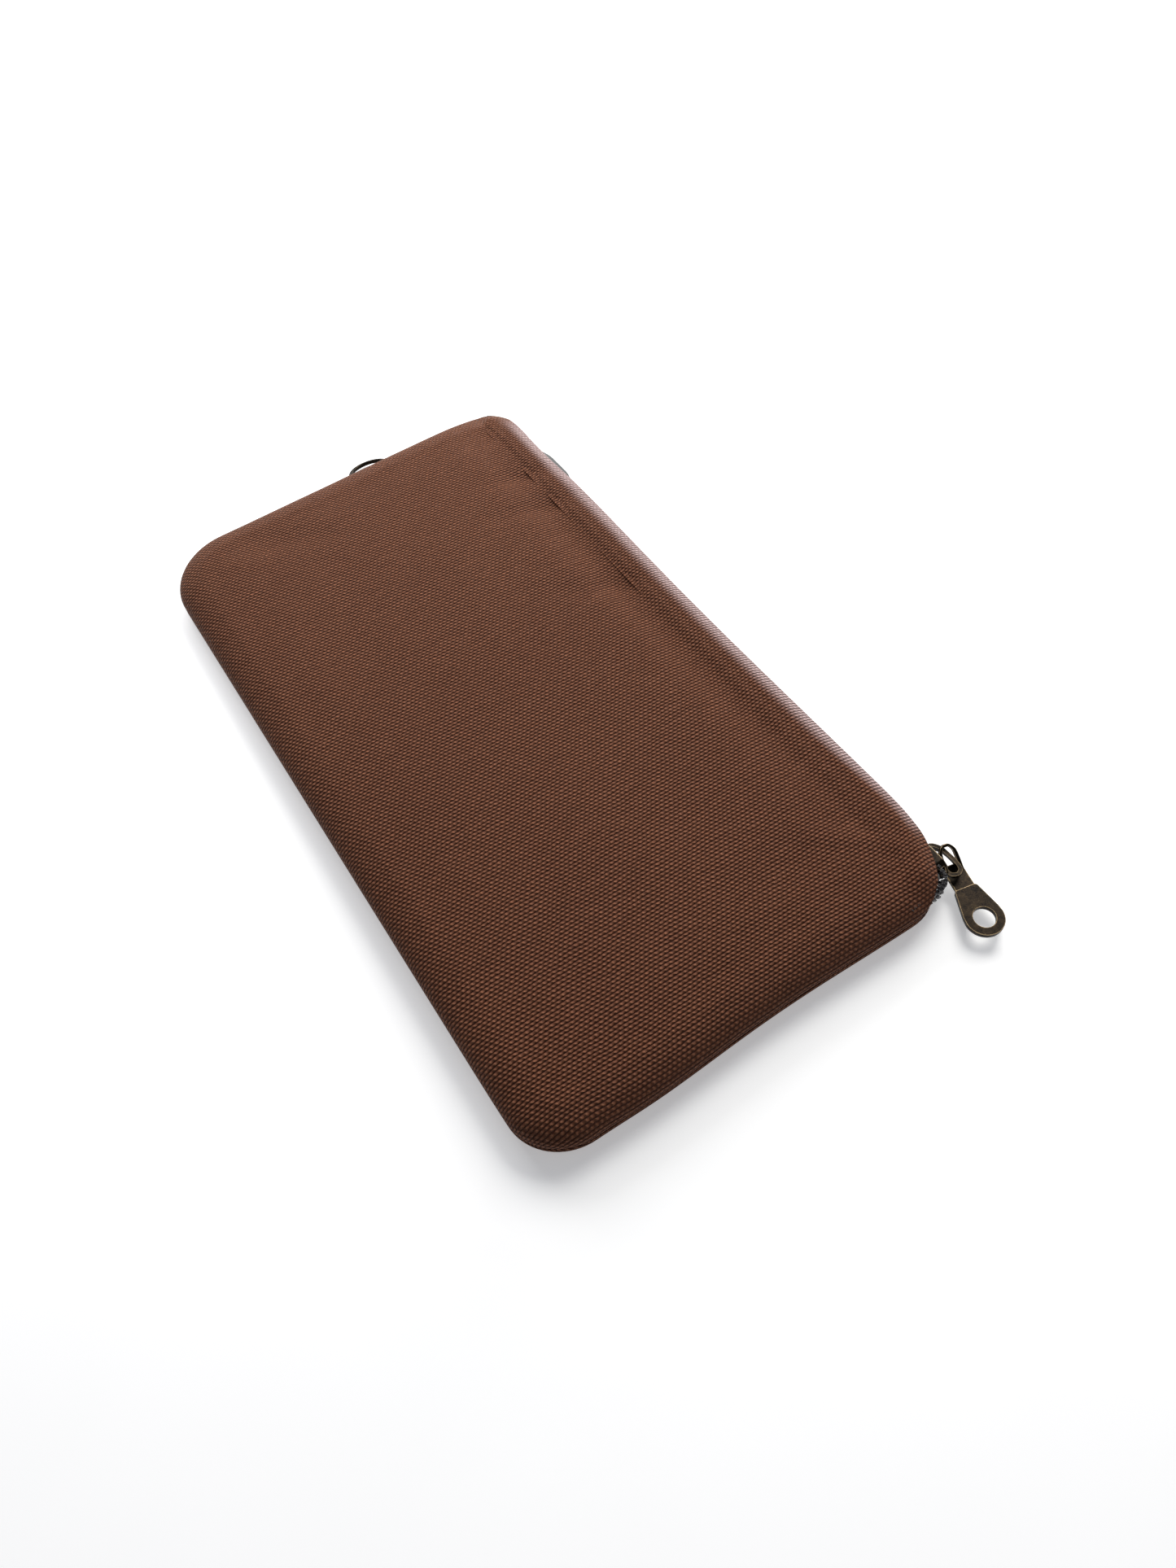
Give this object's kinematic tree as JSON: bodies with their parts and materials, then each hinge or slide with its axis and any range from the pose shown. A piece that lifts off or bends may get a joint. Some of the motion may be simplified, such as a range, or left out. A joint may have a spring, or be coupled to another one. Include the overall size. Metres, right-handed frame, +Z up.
{
  "type": "zippered pouch",
  "caption": "Flat oblong canvas pouch with rounded corners, a coil zipper along one long edge, a slider with a pierced pull tab, and a small ring at one end.",
  "frame": {"origin": "middle of the flat underside, on the surface that the pouch lies on", "axes": "+X from the closed bottom edge to the zipper edge, +Y along the zipper from the slider's rest end to the ring end, +Z up through the thickness"},
  "size_m": [0.1161, 0.2251, 0.01],
  "materials": {
    "canvas": "brown plain-weave cotton duck, matt, slightly fuzzy",
    "lining": "thin plain-weave cotton lining",
    "tape": "black woven zipper tape",
    "coil": "black nylon coil, satin",
    "thread": "twisted polyester sewing thread",
    "metal": "antique brass, darkened, edges rubbed bright"
  },
  "bodies": {
    "back": {"back_panel": "canvas", "back_lining": "lining", "back_tape": "tape", "back_coil": "coil", "back_coil_thread": "thread", "back_zip_thread": "thread", "bottom_seam_thread": "thread", "near_seam_thread": "thread", "far_seam_thread": "thread", "ring_tab": "canvas", "tab_thread": "thread"},
    "front": {"front_panel": "canvas", "front_lining": "lining", "front_tape": "tape", "front_coil": "coil", "front_coil_thread": "thread", "front_zip_thread": "thread"},
    "slider": {"slider_body": "metal", "slider_bridge": "metal"},
    "pull": {"pull_tab": "metal"},
    "ring": {"d_ring": "metal"}
  },
  "joints": [
    {"name": "slider_travel", "type": "slide", "parent": "back", "child": "slider", "axis": [0, 1, 0], "range_m": [0, 0.178], "deforming": ["back_tape", "back_coil", "back_coil_thread"]},
    {"name": "mouth_open", "type": "hinge", "parent": "back", "child": "front", "pos_m": [-0.055, 0, 0.004], "axis": [0, -1, 0], "range_deg": [0, 14], "deforming": ["front_tape", "front_coil", "front_coil_thread"]},
    {"name": "pull_turn", "type": "hinge", "parent": "slider", "child": "pull", "pos_m": [0.05815, -0.09495, 0.005], "axis": [0, 0, 1], "range_deg": [0, 28]},
    {"name": "ring_swing", "type": "hinge", "parent": "back", "child": "ring", "pos_m": [0.013, 0.1031, 0.0032], "axis": [1, 0, 0], "range_deg": [-60, 105]}
  ],
  "couplings": [
    {"joint": "mouth_open", "follows": "slider_travel", "rad_per_m": 1.3726}
  ]
}
